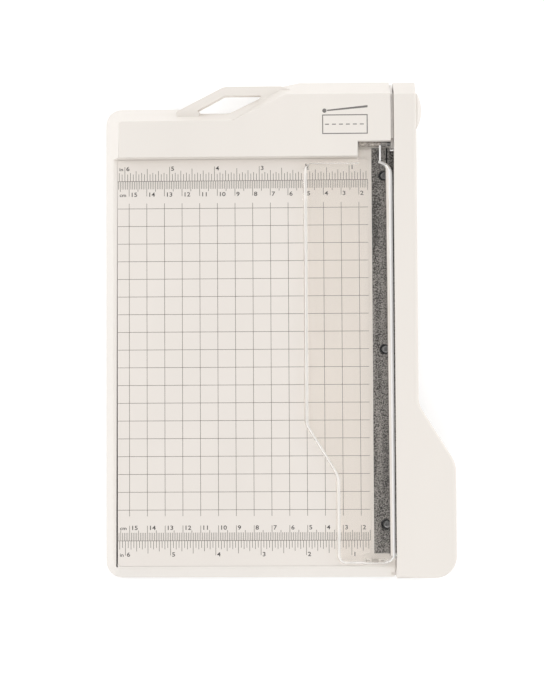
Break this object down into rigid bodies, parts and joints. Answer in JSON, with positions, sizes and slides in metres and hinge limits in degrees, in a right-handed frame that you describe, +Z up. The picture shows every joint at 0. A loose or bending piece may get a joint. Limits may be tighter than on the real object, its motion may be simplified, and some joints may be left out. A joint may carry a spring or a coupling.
{
  "type": "guillotine paper trimmer",
  "caption": "Compact lever-arm paper trimmer: printed bed with rulers and grid, steel bed knife, hinged clear guard and a pivoted cutting arm with a flared grip.",
  "frame": {"origin": "middle of the footprint, on the surface that the feet stand on", "axes": "+X towards the cutting arm, +Y towards the pivot end, +Z up from the table"},
  "size_m": [0.197, 0.2822, 0.024],
  "materials": {
    "shell_plastic": "fine moulded texture, warm white",
    "panel_print": "smooth satin sheet with a printed grid",
    "knife_steel": "ground",
    "blade_steel": "ground, with a bright edge",
    "screw_steel": "plated",
    "plate_steel": "zinc plated",
    "spring_steel": "drawn wire",
    "clear_plastic": "polished clear acrylic",
    "bearing_plastic": "natural acetal",
    "bronze": "sintered bronze",
    "rubber": "matt moulded rubber"
  },
  "bodies": {
    "base": {"base_shell": "shell_plastic", "bed_panel": "panel_print", "bed_knife": "knife_steel", "knife_screws": "screw_steel", "guard_pin": "screw_steel", "pivot_plate": "plate_steel", "pivot_plate_screws": "screw_steel", "pivot_bolt": "screw_steel", "thrust_washer": "bearing_plastic", "disc_springs": "spring_steel", "pivot_washer": "screw_steel", "pivot_nut": "screw_steel", "arm_bumper": "rubber", "foot_front_left": "rubber", "foot_front_right": "rubber", "foot_rear_left": "rubber", "foot_rear_right": "rubber"},
    "arm": {"arm_shell": "shell_plastic", "arm_liner": "shell_plastic", "arm_blade": "blade_steel", "blade_screws": "screw_steel", "liner_screws": "screw_steel", "pivot_bush": "bronze", "pivot_cap": "shell_plastic"},
    "guard": {"guard_plate": "clear_plastic", "guard_spring": "spring_steel"}
  },
  "joints": [
    {"name": "arm_lift", "type": "hinge", "parent": "base", "child": "arm", "pos_m": [0.0659, 0.1226, 0.0125], "axis": [-1, 0, 0], "range_deg": [0, 45]},
    {"name": "guard_lift", "type": "hinge", "parent": "base", "child": "guard", "pos_m": [0.0518, 0.1035, 0.0173], "axis": [-1, 0, 0], "range_deg": [0, 24], "stiffness_Nm_per_rad": 0.02, "springref_deg": -57.3}
  ]
}
